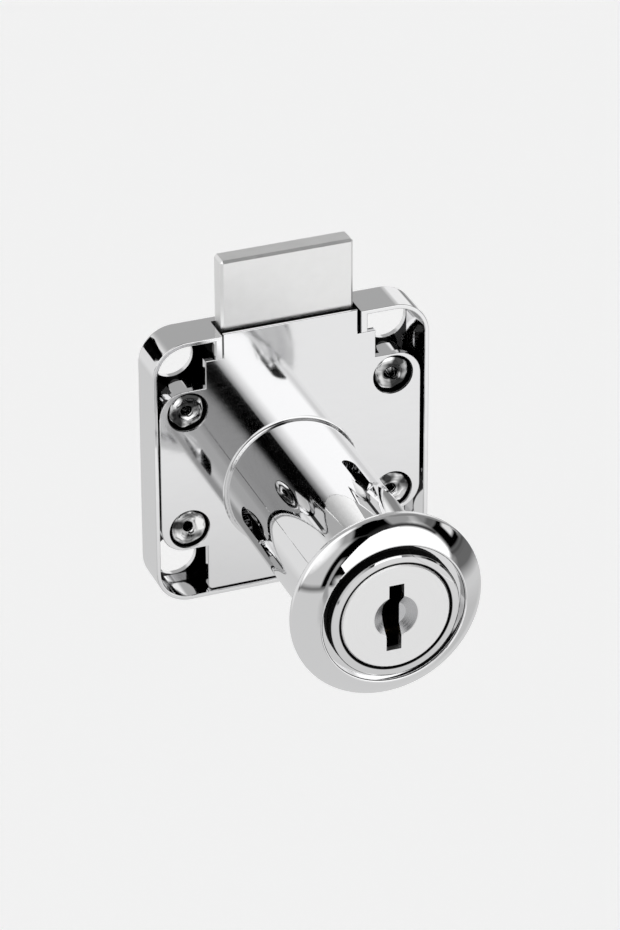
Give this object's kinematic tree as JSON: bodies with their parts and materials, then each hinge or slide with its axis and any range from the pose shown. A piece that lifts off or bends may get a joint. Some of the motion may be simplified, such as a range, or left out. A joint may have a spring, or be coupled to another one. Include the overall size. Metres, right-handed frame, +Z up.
{
  "type": "drawer lock",
  "caption": "Surface-mounted drawer lock: square tray case with a sliding bolt, a long cylindrical barrel with a domed collar, and a keyed wafer plug.",
  "frame": {"origin": "on the barrel's axis, in the plane of the case's front rim, which lies against the inside of the drawer front", "axes": "+X to the right as the key is faced, +Y into the drawer, +Z up, the way the bolt is thrown; the key goes in from -Y"},
  "size_m": [0.04, 0.0445, 0.0503],
  "materials": {
    "cast_chrome": "polished chrome plate on a zinc casting",
    "mirror_chrome": "mirror-polished chrome plate on a zinc casting",
    "collar_chrome": "mirror-polished chrome plate",
    "satin_zinc": "satin plated face, as cast inside",
    "satin_nickel": "satin nickel plate",
    "steel": "drawn steel",
    "spring_steel": "spring wire",
    "wafer_brass": "stamped brass"
  },
  "bodies": {
    "lock_case": {"case": "cast_chrome", "cover_and_barrel": "mirror_chrome", "escutcheon": "collar_chrome"},
    "plug": {"plug": "satin_zinc", "drive_pin": "steel", "retainer_spring": "spring_steel", "wafer_spring_1": "spring_steel", "wafer_spring_2": "spring_steel", "wafer_spring_3": "spring_steel", "wafer_spring_4": "spring_steel", "wafer_spring_5": "spring_steel", "wafer_spring_6": "spring_steel"},
    "bolt": {"bolt": "satin_nickel"},
    "wafer_1": {"wafer_1": "wafer_brass"},
    "wafer_2": {"wafer_2": "wafer_brass"},
    "wafer_3": {"wafer_3": "wafer_brass"},
    "wafer_4": {"wafer_4": "wafer_brass"},
    "wafer_5": {"wafer_5": "wafer_brass"},
    "wafer_6": {"wafer_6": "wafer_brass"},
    "retaining_wafer": {"retaining_wafer": "wafer_brass"}
  },
  "joints": [
    {"name": "plug_turn", "type": "hinge", "parent": "lock_case", "child": "plug", "pos_m": [0, 0, 0], "axis": [0, -1, 0], "range_deg": [0, 180]},
    {"name": "bolt_throw", "type": "slide", "parent": "lock_case", "child": "bolt", "axis": [0, 0, -1], "range_m": [0, 0.01]},
    {"name": "wafer_1_slide", "type": "slide", "parent": "plug", "child": "wafer_1", "axis": [0, 0, 1], "range_m": [0, 0.001], "deforming": ["wafer_spring_1"]},
    {"name": "wafer_2_slide", "type": "slide", "parent": "plug", "child": "wafer_2", "axis": [0, 0, 1], "range_m": [0, 0.001], "deforming": ["wafer_spring_2"]},
    {"name": "wafer_3_slide", "type": "slide", "parent": "plug", "child": "wafer_3", "axis": [0, 0, 1], "range_m": [0, 0.001], "deforming": ["wafer_spring_3"]},
    {"name": "wafer_4_slide", "type": "slide", "parent": "plug", "child": "wafer_4", "axis": [0, 0, 1], "range_m": [0, 0.001], "deforming": ["wafer_spring_4"]},
    {"name": "wafer_5_slide", "type": "slide", "parent": "plug", "child": "wafer_5", "axis": [0, 0, 1], "range_m": [0, 0.001], "deforming": ["wafer_spring_5"]},
    {"name": "wafer_6_slide", "type": "slide", "parent": "plug", "child": "wafer_6", "axis": [0, 0, 1], "range_m": [0, 0.001], "deforming": ["wafer_spring_6"]},
    {"name": "retaining_wafer_slide", "type": "slide", "parent": "plug", "child": "retaining_wafer", "axis": [0, 0, 1], "range_m": [0, 0.001], "stiffness_N_per_m": 100, "springref_m": -0.002, "deforming": ["retainer_spring"]}
  ],
  "couplings": [
    {"joint": "plug_turn", "follows": "bolt_throw", "rad_per_m": 314.16},
    {"joint": "wafer_2_slide", "follows": "wafer_1_slide", "ratio": 1},
    {"joint": "wafer_3_slide", "follows": "wafer_1_slide", "ratio": 1},
    {"joint": "wafer_4_slide", "follows": "wafer_1_slide", "ratio": 1},
    {"joint": "wafer_5_slide", "follows": "wafer_1_slide", "ratio": 1},
    {"joint": "wafer_6_slide", "follows": "wafer_1_slide", "ratio": 1}
  ]
}
